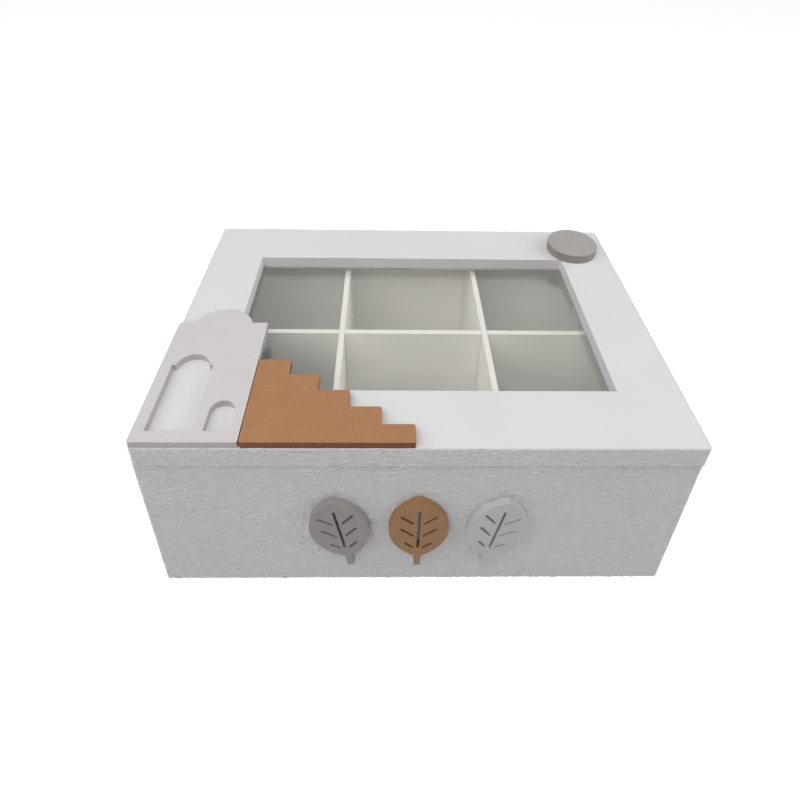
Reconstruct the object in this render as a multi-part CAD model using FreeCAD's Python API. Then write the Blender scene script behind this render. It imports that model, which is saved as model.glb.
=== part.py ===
import FreeCAD, Part
import math
import os

# A hinged tea bag box with a glazed lid and six compartments.
# Sizes are in millimetres. X runs left to right, Y front to back and Z up.
# The origin is the middle of the carcass's underside.

os.makedirs("parts", exist_ok=True)
V = FreeCAD.Vector
UP = V(0, 0, 1)
RIGHT = V(1, 0, 0)
BACKWARD = V(0, 1, 0)
FORWARD = V(0, -1, 0)

# Carcass and lid
lid_width = 240.0
lid_depth = 165.0
lid_thickness = 11.3
lid_front_overhang = 1.5
carcass_height = 86.9
seam_gap = 0.3
panel_thickness = 6.0
corner_radius = 1.2
foot_edge_radius = 1.1
lid_corner_radius = 1.6
lid_low_edge_radius = 0.8
edge_radius = 0.4

# Base panel, let into a rebate round the foot of the walls
base_thickness = 3.0
base_rebate_width = 3.0
base_fit = 0.1

# Loose-cut dividers, halved into one another; the grid stands a little off the middle
divider_thickness = 3.0
divider_top_drop = 2.3
grid_shift_left = 0.9
grid_shift_back = 0.6
divider_end_fit = 0.1
halving_fit = 0.1

# Lid frame, glass and the beads that hold it
stile_width = 30.0
rail_width = 31.0
window_edge_radius = 0.4
glass_rebate_width = 5.0
glass_rebate_depth = 4.3
glass_thickness = 2.0
glass_fit = 0.5
bead_thickness = 2.2
bead_width = 2.5
bead_fit = 0.1

# Panel pins, base pins, glazing pins and mitre nails
corner_pin_radius = 0.6
corner_pin_length = 18.0
corner_pin_count = 3
corner_pin_margin = 14.0
base_pin_radius = 0.5
base_pin_length = 11.0
base_pin_long_count = 3
base_pin_short_count = 2
base_pin_margin = 28.0
bead_pin_radius = 0.35
bead_pin_length = 10.0
bead_pin_long_count = 3
bead_pin_short_count = 2
bead_pin_margin = 26.0
mitre_nail_height = 7.0
mitre_nail_leg = 5.0
mitre_nail_thickness = 0.5
mitre_nail_first = 8.0
mitre_nail_step = 8.0
mitre_nail_count = 2

# Cut-out ornaments on the lid
ornament_thickness = 3.5
ornament_side_inset = 0.5
ornament_front_inset = 0.2
ornament_corner_radius = 1.0
arch_plate_width = 44.2
arch_shoulder_depth = 71.5
arch_shoulder_radius = 2.0
dome_radius = 15.0
dome_sink = 4.7
opening_sill = 5.5
tall_opening_margin = 5.2
tall_opening_width = 18.9
tall_opening_jamb = 36.8
tall_opening_step = 1.7
tall_opening_head_sink = 1.0
small_opening_margin = 4.3
small_opening_width = 10.9
small_opening_jamb = 10.5
plate_gap = 0.4
stair_count = 5
stair_tread = 14.2
stair_landing = 15.2
stair_rise = 9.2
stair_nose_radius = 1.0
disc_radius = 14.8
disc_thickness = 5.8
disc_edge_radius = 1.0
disc_from_right = 21.2
disc_from_back = 20.2

# Leaf plaques on the front, glued on the rough coat that covers the walls
coat_thickness = 0.3
plaque_thickness = 3.5
plaque_height = 48.0
plaque_centre_height = 42.0
plaque_spacing = 35.0
plaque_tilt = 10.0
leaf_width = 27.0
stem_length = 7.0
stem_width = 3.0
stem_lap = 4.0
vein_width = 1.3
vein_margin = 7.0
vein_bridge = 1.4
side_vein_count = 3
side_vein_angle = 42.0
side_vein_reach = 0.62

# Butt hinges with a stop, on the outside of the back
hinge_inset = 50.0
hinge_width = 20.0
hinge_leaf_height = 9.0
hinge_leaf_thickness = 0.8
hinge_gap = 0.3
hinge_corner_radius = 1.5
middle_knuckle_width = 7.4
pin_radius = 0.8
running_clearance = 0.05
pin_head_radius = 1.2
pin_head_thickness = 0.5
lid_open_angle = 105.0
stop_play_angle = 8.0
stop_tongue_length = 3.6

# Countersunk hinge screws
screw_length = 5.0
screw_shank_radius = 0.8
screw_head_radius = 1.6
screw_head_height = 0.7
screw_offset = 6.2
screw_slot_width = 0.4
screw_slot_depth = 0.4

# Places worked out from the sizes above
carcass_depth = lid_depth - lid_front_overhang
half_width = lid_width / 2
half_depth = carcass_depth / 2
lid_front = half_depth - lid_depth
lid_bottom = carcass_height + seam_gap
lid_top = lid_bottom + lid_thickness
inside_half_width = half_width - panel_thickness
inside_half_depth = half_depth - panel_thickness
divider_top = carcass_height - divider_top_drop
cell_width = (2 * inside_half_width - 2 * divider_thickness) / 3
cross_divider_offset = (cell_width + divider_thickness) / 2
grid_x = -grid_shift_left
grid_y = grid_shift_back
window_left = stile_width - half_width
window_right = half_width - stile_width
window_front = lid_front + rail_width
window_back = half_depth - rail_width
lid_bore_radius = pin_radius + running_clearance
knuckle_radius = lid_bore_radius + hinge_leaf_thickness
hinge_pin_y = half_depth + hinge_gap + knuckle_radius
hinge_pin_z = carcass_height + seam_gap / 2
leaf_face_y = half_depth + hinge_leaf_thickness


def block(x0, x1, y0, y1, z0, z1):
    """A plain block between two corners."""
    return Part.makeBox(x1 - x0, y1 - y0, z1 - z0, V(x0, y0, z0))


def eased_block(x0, x1, y0, y1, z0, z1, upright_radius, low_radius):
    """A block with rounded upright corners, a rounded foot and an eased top edge."""
    solid = block(x0, x1, y0, y1, z0, z1)
    upright = [e for e in solid.Edges if e.BoundBox.ZLength > (z1 - z0) / 2]
    solid = solid.makeFillet(upright_radius, upright)
    solid = solid.makeFillet(low_radius, [e for e in solid.Edges if e.BoundBox.ZMax < (z0 + z1) / 2])
    level = [e for e in solid.Edges if e.BoundBox.ZMin > z1 - seam_gap / 10]
    return solid.makeFillet(edge_radius, level)


def spread(low, high, count):
    """Evenly spaced places from low to high, both ends taken."""
    step = (high - low) / (count - 1)
    return [low + step * i for i in range(count)]


def prism(edges, height, direction=UP):
    """A solid raised from one closed outline."""
    face = Part.Face(Part.Wire(Part.__sortEdges__(edges)))
    return face.extrude(direction * height)


def outline(points):
    """Straight edges that join the points and close the loop."""
    ring = points + [points[0]]
    return [Part.LineSegment(ring[i], ring[i + 1]).toShape() for i in range(len(points))]


def rounded_upright(solid, radius, wanted):
    """Rounds the upright edges whose place passes the test."""
    edges = []
    for edge in solid.Edges:
        box = edge.BoundBox
        if box.XLength + box.YLength < radius / 100 and wanted(box.Center):
            edges.append(edge)
    return solid.makeFillet(radius, edges)


def without(solid, tools):
    """The solid with every tool cut away."""
    for tool in tools:
        solid = solid.cut(tool)
    return solid


# Pins of the carcass: three in each corner, through the front or back into a side's end
corner_pins = []
for side in (-1, 1):
    pin_x = side * (half_width - panel_thickness / 2)
    for height in spread(corner_pin_margin, carcass_height - corner_pin_margin, corner_pin_count):
        for start_y, direction in ((-half_depth, BACKWARD), (half_depth, FORWARD)):
            start = V(pin_x, start_y, height)
            corner_pins.append(Part.makeCylinder(corner_pin_radius, corner_pin_length, start, direction))

# Pins of the base: up through its edge into the wall above the rebate
base_pins = []
base_pin_line = panel_thickness - base_rebate_width / 2
for side in (-1, 1):
    for x in spread(base_pin_margin - half_width, half_width - base_pin_margin, base_pin_long_count):
        start = V(x, side * (half_depth - base_pin_line), 0)
        base_pins.append(Part.makeCylinder(base_pin_radius, base_pin_length, start, UP))
    for y in spread(base_pin_margin - half_depth, half_depth - base_pin_margin, base_pin_short_count):
        start = V(side * (half_width - base_pin_line), y, 0)
        base_pins.append(Part.makeCylinder(base_pin_radius, base_pin_length, start, UP))


def screw_blank(x, z):
    """A hinge screw without its slot, its head flush with the leaf's outer face."""
    head = Part.makeCone(screw_head_radius, screw_shank_radius, screw_head_height,
                         V(x, leaf_face_y, z), FORWARD)
    shank = Part.makeCylinder(screw_shank_radius, screw_length, V(x, leaf_face_y, z), FORWARD)
    return head.fuse(shank)


def screw_slot(x, z):
    """The straight slot across a screw's head."""
    return block(x - screw_head_radius, x + screw_head_radius,
                 leaf_face_y - screw_slot_depth, leaf_face_y + screw_slot_depth,
                 z - screw_slot_width / 2, z + screw_slot_width / 2)


# Places of the hinge screws, two in each leaf
hinge_centres = {"left": hinge_inset - half_width, "right": half_width - hinge_inset}
screw_rise = (knuckle_radius + hinge_gap + hinge_leaf_height) / 2
screw_xs = [x + side * screw_offset for x in hinge_centres.values() for side in (-1, 1)]
box_screw_blanks = [screw_blank(x, hinge_pin_z - screw_rise) for x in screw_xs]
lid_screw_blanks = [screw_blank(x, hinge_pin_z + screw_rise) for x in screw_xs]
box_screws = [screw_blank(x, hinge_pin_z - screw_rise).cut(screw_slot(x, hinge_pin_z - screw_rise))
              for x in screw_xs]
lid_screws = [screw_blank(x, hinge_pin_z + screw_rise).cut(screw_slot(x, hinge_pin_z + screw_rise))
              for x in screw_xs]

# Walls: the front and back run full width and the sides stand between them
carcass = eased_block(-half_width, half_width, -half_depth, half_depth, 0, carcass_height,
                      corner_radius, foot_edge_radius)
base_recess = block(base_rebate_width - half_width, half_width - base_rebate_width,
                    base_rebate_width - half_depth, half_depth - base_rebate_width,
                    0, base_thickness)


def wall(x0, x1, y0, y1):
    """One wall of the carcass, rebated for the base and bored for its pins."""
    piece = carcass.common(block(x0, x1, y0, y1, 0, carcass_height))
    return without(piece, [base_recess] + corner_pins + base_pins)


front_panel = wall(-half_width, half_width, -half_depth, -inside_half_depth)
back_panel = wall(-half_width, half_width, inside_half_depth, half_depth)
back_panel = without(back_panel, box_screw_blanks)
left_panel = wall(-half_width, -inside_half_width, -inside_half_depth, inside_half_depth)
right_panel = wall(inside_half_width, half_width, -inside_half_depth, inside_half_depth)
base_panel = block(base_rebate_width - half_width + base_fit, half_width - base_rebate_width - base_fit,
                   base_rebate_width - half_depth + base_fit, half_depth - base_rebate_width - base_fit,
                   0, base_thickness)
base_panel = without(base_panel, base_pins)

# Dividers: one runs left to right, slotted from the top, and two cross it, slotted from below
halving_height = (base_thickness + divider_top) / 2
half_slot = divider_thickness / 2 + halving_fit
long_divider = block(divider_end_fit - inside_half_width, inside_half_width - divider_end_fit,
                     grid_y - divider_thickness / 2, grid_y + divider_thickness / 2,
                     base_thickness, divider_top)
cross_dividers = {}
for name, x in (("left", grid_x - cross_divider_offset), ("right", grid_x + cross_divider_offset)):
    long_divider = long_divider.cut(block(x - half_slot, x + half_slot,
                                          grid_y - half_slot, grid_y + half_slot,
                                          halving_height - halving_fit, divider_top))
    board = block(x - divider_thickness / 2, x + divider_thickness / 2,
                  divider_end_fit - inside_half_depth, inside_half_depth - divider_end_fit,
                  base_thickness, divider_top)
    cross_dividers[name] = board.cut(block(x - half_slot, x + half_slot,
                                           grid_y - half_slot, grid_y + half_slot,
                                           base_thickness, halving_height))


def leaf_plaque(centre_x, tilt):
    """A leaf cut from thin board: a pointed blade, a stem and vein slots right through."""
    half_blade = (plaque_height - stem_length) / 2
    middle = plaque_height / 2 - half_blade
    tip = V(0, 0, middle + half_blade)
    foot = V(0, 0, middle - half_blade)
    sides = [Part.Arc(foot, V(side * leaf_width / 2, 0, middle), tip).toShape() for side in (-1, 1)]
    leaf = prism(sides, plaque_thickness, FORWARD)
    stem = block(-stem_width / 2, stem_width / 2, -plaque_thickness, 0,
                 -plaque_height / 2, foot.z + stem_lap)
    leaf = leaf.fuse(stem).removeSplitter()
    vein_low = foot.z + vein_margin
    vein_high = tip.z - vein_margin
    vein = block(-vein_width / 2, vein_width / 2, -plaque_thickness, 0, vein_low, vein_high)
    leaf = leaf.cut(vein)
    arc_radius = (half_blade ** 2 + (leaf_width / 2) ** 2) / leaf_width
    for i in range(side_vein_count):
        root_z = vein_low + (vein_high - vein_low) * i / side_vein_count
        height_off = root_z - middle
        half_here = math.sqrt(arc_radius ** 2 - height_off ** 2) - arc_radius + leaf_width / 2
        root_x = vein_width / 2 + vein_bridge
        length = side_vein_reach * half_here
        for side in (-1, 1):
            slot = block(0, length, -plaque_thickness, 0, -vein_width / 2, vein_width / 2)
            slot.rotate(V(0, 0, 0), FORWARD, side_vein_angle)
            slot.translate(V(root_x, 0, root_z))
            if side < 0:
                slot = slot.mirror(V(0, 0, 0), RIGHT)
            leaf = leaf.cut(slot)
    leaf.rotate(V(0, 0, 0), BACKWARD, tilt)
    leaf.translate(V(centre_x, -half_depth - coat_thickness, plaque_centre_height))
    return leaf


# Lid frame: one ring with a glass rebate, cut at its mitres into two rails and two stiles
frame_ring = eased_block(-half_width, half_width, lid_front, half_depth, lid_bottom, lid_top,
                         lid_corner_radius, lid_low_edge_radius)
frame_ring = frame_ring.cut(block(window_left, window_right, window_front, window_back,
                                  lid_bottom, lid_top))

rebate_left = window_left - glass_rebate_width
rebate_right = window_right + glass_rebate_width
rebate_front = window_front - glass_rebate_width
rebate_back = window_back + glass_rebate_width
bead_left = rebate_left + bead_width
bead_right = rebate_right - bead_width
bead_front = rebate_front + bead_width
bead_back = rebate_back - bead_width
frame_ring = frame_ring.cut(block(rebate_left, rebate_right, rebate_front, rebate_back,
                                  lid_bottom, lid_bottom + glass_rebate_depth))

# Mitre nails: pairs of legs pressed up from below across each mitre
mitre_nails = []
for x_side in (-1, 1):
    for y_corner, y_side in ((lid_front, 1), (half_depth, -1)):
        for i in range(mitre_nail_count):
            along = mitre_nail_first + mitre_nail_step * i
            across = along * rail_width / stile_width
            apex_x = x_side * (half_width - along)
            apex_y = y_corner + y_side * across
            end_x = apex_x - x_side * mitre_nail_leg
            end_y = apex_y + y_side * mitre_nail_leg
            thick_x = apex_x - x_side * mitre_nail_thickness
            thick_y = apex_y + y_side * mitre_nail_thickness
            corners = [V(apex_x, apex_y, lid_bottom), V(end_x, apex_y, lid_bottom),
                       V(end_x, thick_y, lid_bottom), V(thick_x, thick_y, lid_bottom),
                       V(thick_x, end_y, lid_bottom), V(apex_x, end_y, lid_bottom)]
            mitre_nails.append(prism(outline(corners), mitre_nail_height))

# Glazing pins: sideways through each bead into the frame
bead_pins = []
bead_pin_z = lid_bottom + bead_thickness / 2
for x in spread(window_left + bead_pin_margin, window_right - bead_pin_margin, bead_pin_long_count):
    for y, direction in ((bead_front, FORWARD), (bead_back, BACKWARD)):
        bead_pins.append(Part.makeCylinder(bead_pin_radius, bead_pin_length, V(x, y, bead_pin_z), direction))
for y in spread(window_front + bead_pin_margin, window_back - bead_pin_margin, bead_pin_short_count):
    for x, direction in ((bead_left, -RIGHT), (bead_right, RIGHT)):
        bead_pins.append(Part.makeCylinder(bead_pin_radius, bead_pin_length, V(x, y, bead_pin_z), direction))


def is_window_rim(edge):
    """True for a window edge on the lid's top face."""
    box = edge.BoundBox
    within_x = box.XMin > window_left - edge_radius and box.XMax < window_right + edge_radius
    within_y = box.YMin > window_front - edge_radius and box.YMax < window_back + edge_radius
    return within_x and within_y and box.ZMin > lid_top - edge_radius / 10


def frame_member(outer_start, inner_start, inner_end, outer_end):
    """One side of the lid frame, between the mitres at its ends."""
    corners = [V(x, y, lid_bottom) for x, y in (outer_start, inner_start, inner_end, outer_end)]
    piece = frame_ring.common(prism(outline(corners), lid_thickness))
    piece = piece.makeFillet(window_edge_radius, [e for e in piece.Edges if is_window_rim(e)])
    return without(piece, mitre_nails + bead_pins)


outer_fl, outer_fr = (-half_width, lid_front), (half_width, lid_front)
outer_bl, outer_br = (-half_width, half_depth), (half_width, half_depth)
inner_fl, inner_fr = (window_left, window_front), (window_right, window_front)
inner_bl, inner_br = (window_left, window_back), (window_right, window_back)
lid_front_rail = frame_member(outer_fl, inner_fl, inner_fr, outer_fr)
lid_back_rail = without(frame_member(outer_bl, inner_bl, inner_br, outer_br), lid_screw_blanks)
lid_left_stile = frame_member(outer_fl, inner_fl, inner_bl, outer_bl)
lid_right_stile = frame_member(outer_fr, inner_fr, inner_br, outer_br)

glass_top = lid_bottom + glass_rebate_depth
glass_pane = block(rebate_left + glass_fit, rebate_right - glass_fit,
                   rebate_front + glass_fit, rebate_back - glass_fit,
                   glass_top - glass_thickness, glass_top)


def bead(x0, x1, y0, y1):
    """One glazing bead, bored for its pins."""
    return without(block(x0, x1, y0, y1, lid_bottom, lid_bottom + bead_thickness), bead_pins)


beads = {
    "front": bead(rebate_left + bead_fit, rebate_right - bead_fit, rebate_front + bead_fit, bead_front),
    "back": bead(rebate_left + bead_fit, rebate_right - bead_fit, bead_back, rebate_back - bead_fit),
    "left": bead(rebate_left + bead_fit, bead_left, bead_front + bead_fit, bead_back - bead_fit),
    "right": bead(bead_right, rebate_right - bead_fit, bead_front + bead_fit, bead_back - bead_fit),
}

# Arch plate: a house front with a dome, a tall stepped opening and a small arched one
plate_left = ornament_side_inset - half_width
plate_front = lid_front + ornament_front_inset
plate_right = plate_left + arch_plate_width
shoulder_y = plate_front + arch_shoulder_depth
dome_x = plate_left + arch_plate_width / 2
dome_y = shoulder_y - dome_sink


def arched_opening(centre_x, width, jamb, step, head_sink):
    """The shape of an opening with a round head, stepped in where it springs from the jambs."""
    sill_y = plate_front + opening_sill
    spring_y = sill_y + jamb
    shaft = block(centre_x - width / 2, centre_x + width / 2, sill_y, spring_y,
                  lid_top, lid_top + ornament_thickness)
    head = Part.makeCylinder(width / 2 - step, ornament_thickness, V(centre_x, spring_y - head_sink, lid_top))
    return shaft.fuse(head)


arch_plate = block(plate_left, plate_right, plate_front, shoulder_y, lid_top, lid_top + ornament_thickness)
arch_plate = rounded_upright(arch_plate, arch_shoulder_radius,
                             lambda c: c.x < dome_x and c.y > dome_y)
arch_plate = rounded_upright(arch_plate, ornament_corner_radius,
                             lambda c: abs(c.y - plate_front) < ornament_corner_radius or
                             abs(c.x - plate_right) < ornament_corner_radius)
arch_plate = arch_plate.fuse(Part.makeCylinder(dome_radius, ornament_thickness,
                                               V(dome_x, dome_y, lid_top))).removeSplitter()
tall_opening = arched_opening(plate_left + tall_opening_margin + tall_opening_width / 2,
                              tall_opening_width, tall_opening_jamb, tall_opening_step,
                              tall_opening_head_sink)
small_opening = arched_opening(plate_right - small_opening_margin - small_opening_width / 2,
                               small_opening_width, small_opening_jamb, 0, 0)
arch_plate = without(arch_plate, [tall_opening, small_opening])

# Stair plate: steps that fall from left to right beside the arch plate, below a wider landing
stair_left = plate_right + plate_gap
stair_noses = []
for i in range(stair_count):
    nose_x = stair_left + stair_landing + (stair_count - 1 - i) * stair_tread
    stair_noses.append(V(nose_x, plate_front + (i + 1) * stair_rise, lid_top))
stair_corners = [V(stair_left, plate_front, lid_top), V(stair_noses[0].x, plate_front, lid_top)]
for nose, next_nose in zip(stair_noses, stair_noses[1:]):
    stair_corners.append(nose)
    stair_corners.append(V(next_nose.x, nose.y, lid_top))
stair_corners.append(stair_noses[-1])
stair_corners.append(V(stair_left, stair_noses[-1].y, lid_top))
stair_plate = prism(outline(stair_corners), ornament_thickness)
stair_plate = rounded_upright(stair_plate, ornament_corner_radius,
                              lambda c: abs(c.y - plate_front) < ornament_corner_radius)
stair_plate = rounded_upright(stair_plate, stair_nose_radius,
                              lambda c: any(math.hypot(c.x - n.x, c.y - n.y) < stair_nose_radius
                                            for n in stair_noses))

# Sun disc near the back right corner
sun_disc = Part.makeCylinder(disc_radius, disc_thickness,
                             V(half_width - disc_from_right, half_depth - disc_from_back, lid_top))
sun_disc = sun_disc.makeFillet(disc_edge_radius,
                               [e for e in sun_disc.Edges if e.BoundBox.ZMin > lid_top + disc_thickness / 2])


def knuckle(x0, x1, bore):
    """One rolled knuckle on the hinge line."""
    start = V(x0, hinge_pin_y, hinge_pin_z)
    barrel = Part.makeCylinder(knuckle_radius, x1 - x0, start, RIGHT)
    return barrel, Part.makeCylinder(bore, x1 - x0, start, RIGHT)


def leaf_plate(x0, x1, side):
    """The flat of a leaf, above the hinge line for side 1 and below it for side -1."""
    near = hinge_pin_z + side * (knuckle_radius + hinge_gap)
    far = hinge_pin_z + side * hinge_leaf_height
    plate = block(x0, x1, half_depth, leaf_face_y, min(near, far), max(near, far))
    far_edges = [e for e in plate.Edges
                 if e.BoundBox.XLength + e.BoundBox.ZLength < hinge_gap / 100
                 and abs(e.BoundBox.Center.z - far) < hinge_gap]
    return plate.makeFillet(hinge_corner_radius, far_edges)


def leaf_tab(x0, x1, side):
    """The strip that joins a leaf to one of its knuckles."""
    reach = hinge_pin_z + side * (knuckle_radius + 2 * hinge_gap)
    return block(x0, x1, half_depth, leaf_face_y, min(hinge_pin_z, reach), max(hinge_pin_z, reach))


def hinge_parts(centre):
    """The box leaf, the lid leaf and the pin of the hinge at this place."""
    left, right = centre - hinge_width / 2, centre + hinge_width / 2
    middle_left, middle_right = centre - middle_knuckle_width / 2, centre + middle_knuckle_width / 2
    box_leaf = leaf_plate(left, right, -1)
    for x0, x1 in ((left, middle_left - hinge_gap), (middle_right + hinge_gap, right)):
        barrel, bore = knuckle(x0, x1, pin_radius)
        box_leaf = box_leaf.fuse(leaf_tab(x0, x1, -1)).fuse(barrel).cut(bore)
    lid_leaf = leaf_plate(left, right, 1).fuse(leaf_tab(middle_left, middle_right, 1))
    barrel, bore = knuckle(middle_left, middle_right, lid_bore_radius)
    tongue = block(middle_left, middle_right, leaf_face_y, leaf_face_y + hinge_leaf_thickness,
                   hinge_pin_z - stop_tongue_length, hinge_pin_z)
    tongue.rotate(V(0, hinge_pin_y, hinge_pin_z), RIGHT, lid_open_angle + stop_play_angle)
    lid_leaf = lid_leaf.fuse(barrel).fuse(tongue).cut(bore)
    pin = Part.makeCylinder(pin_radius, hinge_width, V(left, hinge_pin_y, hinge_pin_z), RIGHT)
    for x in (left - pin_head_thickness, right):
        pin = pin.fuse(Part.makeCylinder(pin_head_radius, pin_head_thickness,
                                         V(x, hinge_pin_y, hinge_pin_z), RIGHT))
    return (without(box_leaf, box_screw_blanks).removeSplitter(),
            without(lid_leaf, lid_screw_blanks).removeSplitter(),
            pin.removeSplitter())


# Every piece under its name, and identical fasteners as one group of separate solids
nodes = {
    "front_panel": front_panel,
    "back_panel": back_panel,
    "left_panel": left_panel,
    "right_panel": right_panel,
    "base_panel": base_panel,
    "long_divider": long_divider,
    "cross_divider_left": cross_dividers["left"],
    "cross_divider_right": cross_dividers["right"],
    "corner_pins": Part.makeCompound(corner_pins),
    "base_pins": Part.makeCompound(base_pins),
    "leaf_plaque_left": leaf_plaque(-plaque_spacing, -plaque_tilt),
    "leaf_plaque_middle": leaf_plaque(0, 0),
    "leaf_plaque_right": leaf_plaque(plaque_spacing, plaque_tilt),
    "box_hinge_screws": Part.makeCompound(box_screws),
    "lid_front_rail": lid_front_rail,
    "lid_back_rail": lid_back_rail,
    "lid_left_stile": lid_left_stile,
    "lid_right_stile": lid_right_stile,
    "mitre_nails": Part.makeCompound(mitre_nails),
    "glass_pane": glass_pane,
    "bead_pins": Part.makeCompound(bead_pins),
    "arch_plate": arch_plate,
    "stair_plate": stair_plate,
    "sun_disc": sun_disc,
    "lid_hinge_screws": Part.makeCompound(lid_screws),
}
for place, solid in beads.items():
    nodes["glazing_bead_" + place] = solid
for place, centre in hinge_centres.items():
    box_leaf, lid_leaf, hinge_pin = hinge_parts(centre)
    nodes["hinge_" + place + "_box_leaf"] = box_leaf
    nodes["hinge_" + place + "_lid_leaf"] = lid_leaf
    nodes["hinge_" + place + "_pin"] = hinge_pin

for name, shape in nodes.items():
    shape.exportStep("parts/" + name + ".step")
    print(name, len(shape.Solids), "solids", round(shape.Volume, 2), "mm3", shape.isValid())
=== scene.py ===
import math
import bpy
import numpy as np
from mathutils import Matrix, Vector, noise


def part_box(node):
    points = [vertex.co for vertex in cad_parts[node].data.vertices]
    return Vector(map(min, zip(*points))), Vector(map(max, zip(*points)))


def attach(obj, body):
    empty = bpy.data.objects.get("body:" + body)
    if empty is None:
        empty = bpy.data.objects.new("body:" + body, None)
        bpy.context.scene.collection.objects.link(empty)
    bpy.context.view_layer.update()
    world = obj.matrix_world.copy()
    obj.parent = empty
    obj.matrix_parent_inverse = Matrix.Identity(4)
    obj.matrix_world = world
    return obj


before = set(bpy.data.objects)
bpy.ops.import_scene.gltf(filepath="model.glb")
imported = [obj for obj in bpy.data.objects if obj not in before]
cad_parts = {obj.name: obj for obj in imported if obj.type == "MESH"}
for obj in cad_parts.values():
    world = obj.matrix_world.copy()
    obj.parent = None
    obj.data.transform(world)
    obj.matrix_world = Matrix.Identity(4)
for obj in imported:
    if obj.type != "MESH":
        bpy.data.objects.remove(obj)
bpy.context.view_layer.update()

# Base panel
# The real piece is a 3 mm MDF sheet let into the foot of the walls. It is sprayed white like
# the rest of the inside, which leaves a smooth matt film with a very faint orange peel.
base_edge_ease = 0.0003
ease_segments = 2
sharp_angle = math.radians(35)
weld_gap = 0.000001
paint_index = 1.5
cloud_detail, fleck_detail, peel_detail = 3.0, 2.0, 4.0
dark_point, light_point = 0.36, 0.64
# How far a surface has to face upward to pass for a cut edge at most, or for a face, where painted shade
# darkens the edges.
edge_facing, face_facing = 0.3, 0.8
paint_roughness_swing = 0.06
# The places of the Mix node's colour sockets, which share their names with its other sockets.
mix_colour_a, mix_colour_b, mix_colour_result = 6, 7, 2


def linear(colour):
    """An sRGB hex colour as linear light, with full alpha."""
    parts = [int(colour[i:i + 2], 16) / 255 for i in (0, 2, 4)]
    return [c / 12.92 if c <= 0.04045 else ((c + 0.055) / 1.055) ** 2.4 for c in parts] + [1.0]


def add(tree, kind, settings=None, links=None):
    """Adds a node, sets its options and sockets by name, and links sockets to other nodes' outputs."""
    made = tree.nodes.new(kind)
    for name, value in (settings or {}).items():
        if name in made.inputs:
            made.inputs[name].default_value = value
        else:
            setattr(made, name, value)
    for name, source in (links or {}).items():
        tree.links.new(made.inputs[name], source)
    return made


def new_material(name):
    """An empty node material, with its tree and its output node."""
    material = bpy.data.materials.new(name)
    material.use_nodes = True
    material.node_tree.nodes.clear()
    return material, material.node_tree, material.node_tree.nodes.new("ShaderNodeOutputMaterial")


def paint(name, light, dark, fleck_share, cloud_mm, fleck_mm, peel_mm, peel_height, roughness, gloss,
          painted_edge_shade="FFFFFF"):
    """A thin matt film on MDF: two close tones in flecks and clouds, painted shade on cut edges and a fine
    peel.
    """
    material, tree, output = new_material(name)
    place = add(tree, "ShaderNodeTexCoord").outputs
    cloud = add(tree, "ShaderNodeTexNoise", {"Scale": 1000 / cloud_mm, "Detail": cloud_detail},
                {"Vector": place["Object"]})
    fleck = add(tree, "ShaderNodeTexNoise", {"Scale": 1000 / fleck_mm, "Detail": fleck_detail},
                {"Vector": place["Object"]})
    spread = add(tree, "ShaderNodeMix", {"data_type": "FLOAT", "Factor": fleck_share},
                 {"A": cloud.outputs["Fac"], "B": fleck.outputs["Fac"]})
    tones = add(tree, "ShaderNodeValToRGB", {}, {"Fac": spread.outputs["Result"]})
    for stop, position, tone in zip(tones.color_ramp.elements, (dark_point, light_point), (dark, light)):
        stop.position = position
        stop.color = linear(tone)
    normal = add(tree, "ShaderNodeSeparateXYZ", {}, {"Vector": place["Normal"]})
    upright = add(tree, "ShaderNodeMapRange",
                  {"From Min": edge_facing, "From Max": face_facing, "To Min": 1.0, "To Max": 0.0},
                  {"Value": normal.outputs["Z"]})
    # Faces that do not look up are multiplied by the edge colour: painted shade for sides turned away from
    # the light above.
    colour = add(tree, "ShaderNodeMix", {"data_type": "RGBA", "blend_type": "MULTIPLY"},
                 {"Factor": upright.outputs["Result"], mix_colour_a: tones.outputs["Color"]})
    colour.inputs[mix_colour_b].default_value = linear(painted_edge_shade)
    peel = add(tree, "ShaderNodeTexNoise", {"Scale": 1000 / peel_mm, "Detail": peel_detail},
               {"Vector": place["Object"]})
    bump = add(tree, "ShaderNodeBump", {"Distance": peel_height}, {"Height": peel.outputs["Fac"]})
    rough = add(tree, "ShaderNodeMapRange",
                {"To Min": roughness - paint_roughness_swing, "To Max": roughness + paint_roughness_swing},
                {"Value": fleck.outputs["Fac"]})
    shader = add(tree, "ShaderNodeBsdfPrincipled", {"IOR": paint_index, "Specular IOR Level": gloss},
                 {"Base Color": colour.outputs[mix_colour_result], "Roughness": rough.outputs["Result"],
                  "Normal": bump.outputs["Normal"]})
    tree.links.new(output.inputs["Surface"], shader.outputs["BSDF"])
    return material


def finish_node(name, material, ease=0.0):
    """Gives a piece its finish and, where asked, a small round on its sharp edges, as paint leaves there."""
    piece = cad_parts[name]
    piece.data.materials.clear()
    piece.data.materials.append(material)
    if ease:
        weld = piece.modifiers.new("Weld", "WELD")
        weld.merge_threshold = weld_gap
        bevel = piece.modifiers.new("Ease", "BEVEL")
        bevel.width = ease
        bevel.segments = ease_segments
        bevel.limit_method = "ANGLE"
        bevel.angle_limit = sharp_angle
        piece.modifiers.new("Shade", "WEIGHTED_NORMAL")


# The inside white is set lighter than the lid's white: painted light for the light that reaches into the
# compartments.
inside_white_painted_lighter = paint("sprayed_white_inside_painted_lighter", light="F6F5F3", dark="F4F3F1", fleck_share=0.4,
                     cloud_mm=26.0, fleck_mm=0.5, peel_mm=1.4, peel_height=0.00003,
                     roughness=0.6, gloss=0.3)
finish_node("base_panel", inside_white_painted_lighter, base_edge_ease)

# Walls
# Four 6 mm MDF boards, glued and pinned at the corners. Their inner faces and top edges carry
# the same smooth white film as the base.
for board in ("front_panel", "back_panel", "left_panel", "right_panel"):
    finish_node(board, inside_white_painted_lighter)
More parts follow.
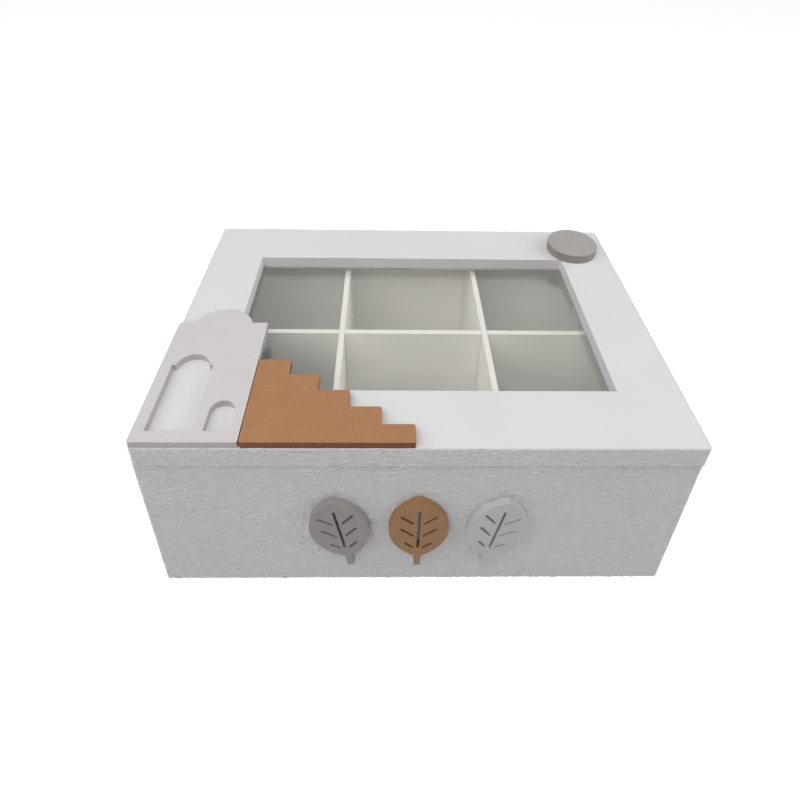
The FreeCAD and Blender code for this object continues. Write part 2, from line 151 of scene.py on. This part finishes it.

# Wall coat
# A thick white structure paint, dabbed and dragged over the outside of the walls. It dries in
# small soft lumps and short ragged strokes, up to about 0.2 mm high, which lie mostly level.
# The coat's tones are set a little greyer than the lid's white, as painted shade for the small shadows of
# its texture.
coat_light, coat_dark = "DEDEDE", "D6D5D6"
coat_dark_point, coat_light_point = 0.36, 0.6
coat_roughness_low, coat_roughness_high = 0.62, 0.74
coat_gloss = 0.3
stroke_detail, grain_detail = 2.0, 2.0
stroke_raggedness = 0.8
stroke_run_mm = 2.2
stroke_rise_mm = 0.75
stroke_height = 0.0009
grain_mm = 0.8
grain_height = 0.0001
coat_step = 0.0005
coat_film = 0.0002
coat_least = 0.00006
coat_anchor = 0.0003
lump_height = 0.0004
lump_run_mm = 1.7
lump_rise_mm = 1.05
ridge_height = 0.00036
ridge_run_mm = 3.0
ridge_rise_mm = 1.0
ridge_start = 0.1
drift_span_mm = 11.0
drift_height_mm = 4.0
patch_span_mm = 13.0
patch_least, patch_middle, patch_swing = 0.6, 0.85, 0.6
# The shifts keep the ridges and the patches from following the lumps and the drift.
ridge_shift = 31
patch_shift = Vector((9, 4, 7))
# The left wall carries a thicker film, and the sides and the back have lumps half as high.
left_extra_film = 0.0007
side_calm = 0.5
wall_corner_radius = 0.0012
foot_radius = 0.0011
rim_radius = 0.0004
corner_points = 7
rim_points = 5
wall_low, wall_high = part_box("front_panel")
back_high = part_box("back_panel")[1]
half_width, half_depth, wall_top = wall_high.x, back_high.y, wall_high.z
wall_inner_y = half_depth - (wall_high.y - wall_low.y)


def straight(start, end):
    """Points a coat step apart along a straight stretch, as rows of x, y and the outward direction."""
    start, end = np.array(start), np.array(end)
    length = np.linalg.norm(end - start)
    run = (end - start) / length
    share = np.linspace(0, 1, max(2, round(length / coat_step) + 1))[:, None]
    outward = np.tile([run[1], -run[0]], (len(share), 1))
    return np.hstack([start + share * (end - start), outward])


def corner(centre, start_angle, radius):
    """Points round a quarter turn to the left, in the same form."""
    angles = np.radians(start_angle) + np.linspace(0, math.pi / 2, corner_points)
    outward = np.column_stack([np.cos(angles), np.sin(angles)])
    return np.hstack([np.array(centre) + radius * outward, outward])


def run_on(stretches):
    """Joins stretches end to end, with each shared point once."""
    return np.vstack([stretches[0]] + [stretch[1:] for stretch in stretches[1:]])


def relief(x, y, z):
    """Height of the coat above or below its film at a place, from soft lumps and dragged ridges."""
    place = Vector((x, y, z)) * 1000
    level = place.z + drift_height_mm * noise.noise(place / drift_span_mm)
    lump = noise.noise(Vector((place.x / lump_run_mm, place.y / lump_run_mm, level / lump_rise_mm)))
    along = Vector((place.x / ridge_run_mm, place.y / ridge_run_mm, level / ridge_rise_mm + ridge_shift))
    ridge = max(0.0, noise.noise(along) - ridge_start)
    patch = patch_middle + patch_swing * noise.noise(place / patch_span_mm + patch_shift)
    return min(1.0, max(patch_least, patch)) * (lump_height * lump + ridge_height * ridge)


def structure_paint(name):
    """Matt white, set a little grey as painted shade, with fine dragged grain drawn about 1 mm coarse so
    that it shows at arm's length.
    """
    material, tree, output = new_material(name)
    place = add(tree, "ShaderNodeTexCoord").outputs["Object"]
    drag = add(tree, "ShaderNodeMapping",
               {"Scale": (1000 / stroke_run_mm, 1000 / stroke_run_mm, 1000 / stroke_rise_mm)},
               {"Vector": place})
    stroke = add(tree, "ShaderNodeTexNoise",
                 {"Scale": 1.0, "Detail": stroke_detail, "Distortion": stroke_raggedness},
                 {"Vector": drag.outputs["Vector"]})
    grain = add(tree, "ShaderNodeTexNoise", {"Scale": 1000 / grain_mm, "Detail": grain_detail},
                {"Vector": place})
    lower = add(tree, "ShaderNodeBump", {"Distance": stroke_height}, {"Height": stroke.outputs["Fac"]})
    upper = add(tree, "ShaderNodeBump", {"Distance": grain_height},
                {"Height": grain.outputs["Fac"], "Normal": lower.outputs["Normal"]})
    # The tone follows the strokes' height, so their hollows take the darker tone.
    tones = add(tree, "ShaderNodeValToRGB", {}, {"Fac": stroke.outputs["Fac"]})
    stops = zip(tones.color_ramp.elements, (coat_dark_point, coat_light_point), (coat_dark, coat_light))
    for stop, position, tone in stops:
        stop.position = position
        stop.color = linear(tone)
    rough = add(tree, "ShaderNodeMapRange", {"To Min": coat_roughness_low, "To Max": coat_roughness_high},
                {"Value": grain.outputs["Fac"]})
    shader = add(tree, "ShaderNodeBsdfPrincipled", {"IOR": paint_index, "Specular IOR Level": coat_gloss},
                 {"Base Color": tones.outputs["Color"], "Roughness": rough.outputs["Result"],
                  "Normal": upper.outputs["Normal"]})
    tree.links.new(output.inputs["Surface"], shader.outputs["BSDF"])
    return material


rough_white = structure_paint("white_structure_paint")


def coat(name, line, low, high, low_radius, body, left_extra=0.0, closed=False):
    """A skin of structure paint over a board's outer face and eased rims, its back sunk in the board."""
    turn = np.linspace(0, math.pi / 2, rim_points)
    rise = np.linspace(low + low_radius, high - rim_radius, round((high - low) / coat_step))[1:-1]
    # A row says how far it lies in from the face, its height, and its share of outward and upward.
    foot = [(low_radius * (1 - math.sin(t)), low + low_radius * (1 - math.cos(t)), math.sin(t), -math.cos(t))
            for t in turn]
    flat = [(0.0, z, 1.0, 0.0) for z in rise]
    rim = [(rim_radius * (1 - math.sin(t)), high - rim_radius * (1 - math.cos(t)), math.sin(t), math.cos(t))
           for t in turn[::-1]]
    rows = foot + flat + rim
    points = []
    for inset, z, outward, upward in rows:
        for x, y, out_x, out_y in line:
            board_x, board_y = x - out_x * inset, y - out_y * inset
            film = coat_film + left_extra * max(0.0, -out_x)
            lumps = (1 - side_calm * max(abs(out_x), out_y)) * relief(board_x, board_y, z)
            thick = outward * max(coat_least, film + lumps)
            reach = outward * thick
            points.append((board_x + out_x * reach, board_y + out_y * reach, max(low, z + upward * thick)))
    # Two more rows lie inside the board and close the skin's back.
    for z, radius in ((high - coat_anchor, rim_radius), (low + coat_anchor, low_radius)):
        inset = radius + coat_anchor
        points += [(x - out_x * inset, y - out_y * inset, z) for x, y, out_x, out_y in line]
    across, around = len(line), len(rows) + 2
    columns = across if closed else across - 1
    faces = []
    for row in range(around):
        above = (row + 1) % around
        for column in range(columns):
            right = (column + 1) % across
            faces.append((row * across + column, row * across + right,
                          above * across + right, above * across + column))
    if not closed:
        faces.append([row * across for row in range(around)])
        faces.append([row * across + across - 1 for row in reversed(range(around))])
    mesh = bpy.data.meshes.new(name)
    mesh.from_pydata(points, [], faces)
    outer_faces = (len(rows) - 1) * columns
    mesh.polygons.foreach_set("use_smooth", [face < outer_faces for face in range(len(faces))])
    mesh.materials.append(rough_white)
    piece = bpy.data.objects.new(name, mesh)
    bpy.context.scene.collection.objects.link(piece)
    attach(piece, body)


flat_x, flat_y = half_width - wall_corner_radius, half_depth - wall_corner_radius
front_line = run_on([straight((-half_width, -wall_inner_y), (-half_width, -flat_y)),
                     corner((-flat_x, -flat_y), 180, wall_corner_radius),
                     straight((-flat_x, -half_depth), (flat_x, -half_depth)),
                     corner((flat_x, -flat_y), 270, wall_corner_radius),
                     straight((half_width, -flat_y), (half_width, -wall_inner_y))])
left_line = straight((-half_width, wall_inner_y), (-half_width, -wall_inner_y))
# A minus sign turns a line half round the box, from the front to the back or the left to the right.
for side, line in (("front", front_line), ("back", -front_line), ("left", left_line), ("right", -left_line)):
    coat(side + "_wall_coat", line, 0.0, wall_top, foot_radius, "box", left_extra_film)

# Dividers
# Three strips of 3 mm MDF, halved into one another and glued between the walls. They are
# sprayed with the inside.
divider_edge_ease = 0.0003
for board in ("long_divider", "cross_divider_left", "cross_divider_right"):
    finish_node(board, inside_white_painted_lighter, divider_edge_ease)

# Panel pins, base pins, glazing pins and mitre nails
# Bright drawn steel wire and strip, driven in and left bare. Drawing leaves a finely uneven shine.
wire_colour = "9C9A97"
wire_grain_mm = 0.3
wire_roughness = 0.4
metal_detail = 4.0
metal_roughness_drop, metal_roughness_rise = 0.08, 0.1
metal_grain_height = 0.00001


def metal(name, colour, metal_grain_mm, roughness):
    """A bare or plated metal with fine uneven shine."""
    material, tree, output = new_material(name)
    place = add(tree, "ShaderNodeTexCoord").outputs["Object"]
    grain = add(tree, "ShaderNodeTexNoise", {"Scale": 1000 / metal_grain_mm, "Detail": metal_detail},
                {"Vector": place})
    rough = add(tree, "ShaderNodeMapRange",
                {"To Min": roughness - metal_roughness_drop, "To Max": roughness + metal_roughness_rise},
                {"Value": grain.outputs["Fac"]})
    bump = add(tree, "ShaderNodeBump", {"Distance": metal_grain_height}, {"Height": grain.outputs["Fac"]})
    shader = add(tree, "ShaderNodeBsdfPrincipled", {"Base Color": linear(colour), "Metallic": 1.0},
                 {"Roughness": rough.outputs["Result"], "Normal": bump.outputs["Normal"]})
    tree.links.new(output.inputs["Surface"], shader.outputs["BSDF"])
    return material


drawn_steel = metal("drawn_steel_wire", wire_colour, wire_grain_mm, wire_roughness)
for group in ("corner_pins", "base_pins", "bead_pins", "mitre_nails"):
    finish_node(group, drawn_steel)

# Hinges
# Two butt hinges pressed from sheet steel, with rolled knuckles and slotted screws. Nickel
# plating gives them a warm, slightly dulled shine.
nickel_colour = "C9C6C0"
nickel_grain_mm = 0.25
nickel_roughness = 0.3
nickel = metal("nickel_plated_steel", nickel_colour, nickel_grain_mm, nickel_roughness)
for side in ("left", "right"):
    for part in ("box_leaf", "lid_leaf", "pin"):
        finish_node("hinge_" + side + "_" + part, nickel)
finish_node("box_hinge_screws", nickel)
finish_node("lid_hinge_screws", nickel)

# Lid frame
# Two rails and two stiles of thick MDF, mitred and nailed from below. They are sprayed white,
# which leaves a smooth matt film.
lid_white = paint("sprayed_white_paint_on_lid", light="E7E6E6", dark="E4E2E3", fleck_share=0.35,
                  cloud_mm=30.0, fleck_mm=0.6, peel_mm=1.6, peel_height=0.00004,
                  roughness=0.6, gloss=0.3)
for board in ("lid_front_rail", "lid_back_rail", "lid_left_stile", "lid_right_stile"):
    finish_node(board, lid_white)

# Lid edge coat
# The same structure paint as on the walls, dragged once round the lid's outer edge. It covers
# the ends of the mitres.
lid_corner_radius = 0.0016
lid_low_radius = 0.0008
lid_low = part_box("lid_front_rail")[0]
lid_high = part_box("lid_back_rail")[1]
lid_flat_x = lid_high.x - lid_corner_radius
lid_front_flat, lid_back_flat = lid_low.y + lid_corner_radius, lid_high.y - lid_corner_radius
lid_line = run_on([straight((-lid_high.x, lid_back_flat), (-lid_high.x, lid_front_flat)),
                   corner((-lid_flat_x, lid_front_flat), 180, lid_corner_radius),
                   straight((-lid_flat_x, lid_low.y), (lid_flat_x, lid_low.y)),
                   corner((lid_flat_x, lid_front_flat), 270, lid_corner_radius),
                   straight((lid_high.x, lid_front_flat), (lid_high.x, lid_back_flat)),
                   corner((lid_flat_x, lid_back_flat), 0, lid_corner_radius),
                   straight((lid_flat_x, lid_high.y), (-lid_flat_x, lid_high.y)),
                   corner((-lid_flat_x, lid_back_flat), 90, lid_corner_radius)])
# The line ends where it began, so its last point is left off.
coat("lid_edge_coat", lid_line[:-1], lid_low.z, lid_high.z, lid_low_radius, "lid", closed=True)

# Glass pane
# A 2 mm sheet of float glass in the frame's rebate, clear with the faint tint of iron. Light
# on its way to the inside passes straight through it.
glass_tint = "FCFCF9"
glass_index = 1.5


def any_ray(tree, kinds):
    """1 for light rays of the kinds named and 0 for all others."""
    path = add(tree, "ShaderNodeLightPath").outputs
    found = path[kinds[0]]
    for kind in kinds[1:]:
        found = add(tree, "ShaderNodeMath", {"operation": "MAXIMUM"}, {0: found, 1: path[kind]}).outputs[0]
    return found


float_glass, tree, output = new_material("float_glass")
pane = add(tree, "ShaderNodeBsdfPrincipled",
           {"Base Color": linear(glass_tint), "Roughness": 0.0, "IOR": glass_index,
            "Transmission Weight": 1.0})
clear = add(tree, "ShaderNodeBsdfTransparent", {"Color": linear(glass_tint)})
mixed = add(tree, "ShaderNodeMixShader", {},
            {"Fac": any_ray(tree, ("Is Shadow Ray", "Is Diffuse Ray")),
             1: pane.outputs["BSDF"], 2: clear.outputs["BSDF"]})
tree.links.new(output.inputs["Surface"], mixed.outputs["Shader"])
finish_node("glass_pane", float_glass)

# Glazing beads
# Thin MDF strips, sprayed white and pinned under the glass to hold it up in its rebate.
bead_edge_ease = 0.0002
for side in ("front", "back", "left", "right"):
    finish_node("glazing_bead_" + side, inside_white_painted_lighter, bead_edge_ease)

# Ornaments on the lid
# Flat shapes cut from 3.5 mm MDF, and the disc from 5.8 mm, glued on the frame. Brushed matt paint leaves
# soft clouds and a fine fleck. Their cut edges and the disc's side are tinted darker than their tops:
# painted shade for faces that turn away from the light above.
ornament_edge_ease = 0.0002
warm_grey = paint("warm_grey_brushed_paint", light="D8D4D4", dark="D3CFCF", fleck_share=0.5,
                  cloud_mm=16.0, fleck_mm=0.7, peel_mm=0.9, peel_height=0.00004,
                  roughness=0.6, gloss=0.25, painted_edge_shade="E2E2E4")
copper = paint("copper_brown_brushed_paint", light="B78863", dark="9D704D", fleck_share=0.8,
               cloud_mm=9.0, fleck_mm=0.6, peel_mm=0.9, peel_height=0.00005,
               roughness=0.55, gloss=0.3, painted_edge_shade="B09487")
mauve_grey = paint("mauve_grey_brushed_paint", light="B3ADAA", dark="ABA5A2", fleck_share=0.6,
                   cloud_mm=12.0, fleck_mm=0.8, peel_mm=0.9, peel_height=0.00004,
                   roughness=0.6, gloss=0.25, painted_edge_shade="DCD8D6")
finish_node("arch_plate", warm_grey, ornament_edge_ease)
finish_node("stair_plate", copper, ornament_edge_ease)
finish_node("sun_disc", mauve_grey)

# Leaf plaques on the front
# Three leaves cut from 3.5 mm MDF with pierced veins, painted all round and glued on the coat.
# Their paint is a shade deeper than on the lid's ornaments; on the copper leaf this is painted shade.
leaf_edge_ease = 0.00025
leaf_mauve = paint("mauve_grey_leaf_paint", light="9F9796", dark="968E8D", fleck_share=0.6,
                   cloud_mm=10.0, fleck_mm=0.8, peel_mm=0.9, peel_height=0.00004,
                   roughness=0.6, gloss=0.25)
# The copper is set darker than the stair plate's: painted shade for an upright face that misses the sheen
# the flat tops catch from above.
shaded_leaf_copper = paint("copper_brown_leaf_paint", light="A07953", dark="8E6946", fleck_share=0.7,
                    cloud_mm=8.0, fleck_mm=0.9, peel_mm=0.9, peel_height=0.00005,
                    roughness=0.55, gloss=0.3)
leaf_grey = paint("pale_grey_leaf_paint", light="C6C3C4", dark="BFBCBD", fleck_share=0.6,
                  cloud_mm=10.0, fleck_mm=0.8, peel_mm=0.9, peel_height=0.00004,
                  roughness=0.6, gloss=0.25)
finish_node("leaf_plaque_left", leaf_mauve, leaf_edge_ease)
finish_node("leaf_plaque_middle", shaded_leaf_copper, leaf_edge_ease)
finish_node("leaf_plaque_right", leaf_grey, leaf_edge_ease)

# Floor
# A plain pale sheet under the box. The camera, glass and metal see it white with the box's
# soft shadow on it, and it throws light back as a pale matt sheet does.
floor_size = 8.0
floor_drop = 0.0002
floor_tone = 0.7
floor_glow = 0.9
floor_shown_tone = 0.22
seen_rays = ("Is Camera Ray", "Is Glossy Ray", "Is Transmission Ray")
white_floor, tree, output = new_material("white_studio_floor")
lit = add(tree, "ShaderNodeBsdfDiffuse", {"Color": (floor_tone, floor_tone, floor_tone, 1)})
shown = add(tree, "ShaderNodeBsdfDiffuse",
            {"Color": (floor_shown_tone, floor_shown_tone, floor_shown_tone, 1)})
glow = add(tree, "ShaderNodeEmission", {"Strength": floor_glow})
both = add(tree, "ShaderNodeAddShader", {}, {0: shown.outputs["BSDF"], 1: glow.outputs["Emission"]})
chosen = add(tree, "ShaderNodeMixShader", {},
             {"Fac": any_ray(tree, seen_rays), 1: lit.outputs["BSDF"], 2: both.outputs["Shader"]})
tree.links.new(output.inputs["Surface"], chosen.outputs["Shader"])
far = floor_size / 2
mesh = bpy.data.meshes.new("floor")
mesh.from_pydata([(-far, -far, -floor_drop), (far, -far, -floor_drop),
                  (far, far, -floor_drop), (-far, far, -floor_drop)], [], [(0, 1, 2, 3)])
mesh.materials.append(white_floor)
floor = bpy.data.objects.new("floor", mesh)
bpy.context.scene.collection.objects.link(floor)

# Studio light
# A faint even sky, which is seen as white behind the box, and five large soft lamps: in front
# to the left, high in front, high behind, and at either side.
sky_strength = 0.08
softbox_size = 1.4
# Each lamp has its place, its power in watts, and whether glass and metal mirror it.
softboxes = {
    "front_left_softbox": ((-0.45, -0.9, 1.3), 9.0, True),
    "high_front_softbox": ((-0.2, -0.5, 1.5), 4.2, True),
    "high_back_softbox": ((0.1, 0.5, 1.5), 2.2, False),
    "left_softbox": ((-1.3, -0.1, 0.9), 8.9, True),
    "right_softbox": ((1.3, -0.1, 0.7), 11.5, True),
}
world = bpy.data.worlds.new("studio")
bpy.context.scene.world = world
world.use_nodes = True
tree = world.node_tree
tree.nodes.clear()
strength = add(tree, "ShaderNodeMapRange", {"To Min": sky_strength, "To Max": 1.0},
               {"Value": any_ray(tree, seen_rays)})
sky = add(tree, "ShaderNodeBackground", {"Color": (1, 1, 1, 1)}, {"Strength": strength.outputs["Result"]})
add(tree, "ShaderNodeOutputWorld", {}, {"Surface": sky.outputs["Background"]})
for name, (place, power, mirrored) in softboxes.items():
    lamp_data = bpy.data.lights.new(name, "AREA")
    lamp_data.shape = "DISK"
    lamp_data.size = softbox_size
    lamp_data.energy = power
    lamp = bpy.data.objects.new(name, lamp_data)
    lamp.location = place
    lamp.rotation_euler = (-lamp.location).to_track_quat("-Z", "Y").to_euler()
    lamp.visible_glossy = mirrored
    bpy.context.scene.collection.objects.link(lamp)

# Camera
# It stands close in front of the box, a little left of its middle, and looks down on it. The
# frame is 800 pixels square, and the line of sight meets it above its middle.
camera_place = (-0.015906, -0.241717, 0.305221)
camera_down = math.radians(30.266)
camera_right = math.radians(1.647)
camera_roll = math.radians(1.493)
frame_pixels = 800
focal_pixels = 592.11
middle_column = 401.73
middle_row = 206.71
sensor_mm = 36.0
nearest_seen = 0.01
camera_data = bpy.data.cameras.new("camera")
camera_data.sensor_width = sensor_mm
camera_data.lens = focal_pixels / frame_pixels * sensor_mm
camera_data.shift_x = (frame_pixels / 2 - middle_column) / frame_pixels
camera_data.shift_y = (middle_row - frame_pixels / 2) / frame_pixels
camera_data.clip_start = nearest_seen
camera = bpy.data.objects.new("camera", camera_data)
camera.matrix_world = (Matrix.Translation(camera_place) @ Matrix.Rotation(-camera_right, 4, "Z")
                       @ Matrix.Rotation(math.pi / 2 - camera_down, 4, "X")
                       @ Matrix.Rotation(camera_roll, 4, "Z"))
bpy.context.scene.collection.objects.link(camera)
bpy.context.scene.camera = camera
bpy.context.scene.view_settings.view_transform = "Standard"
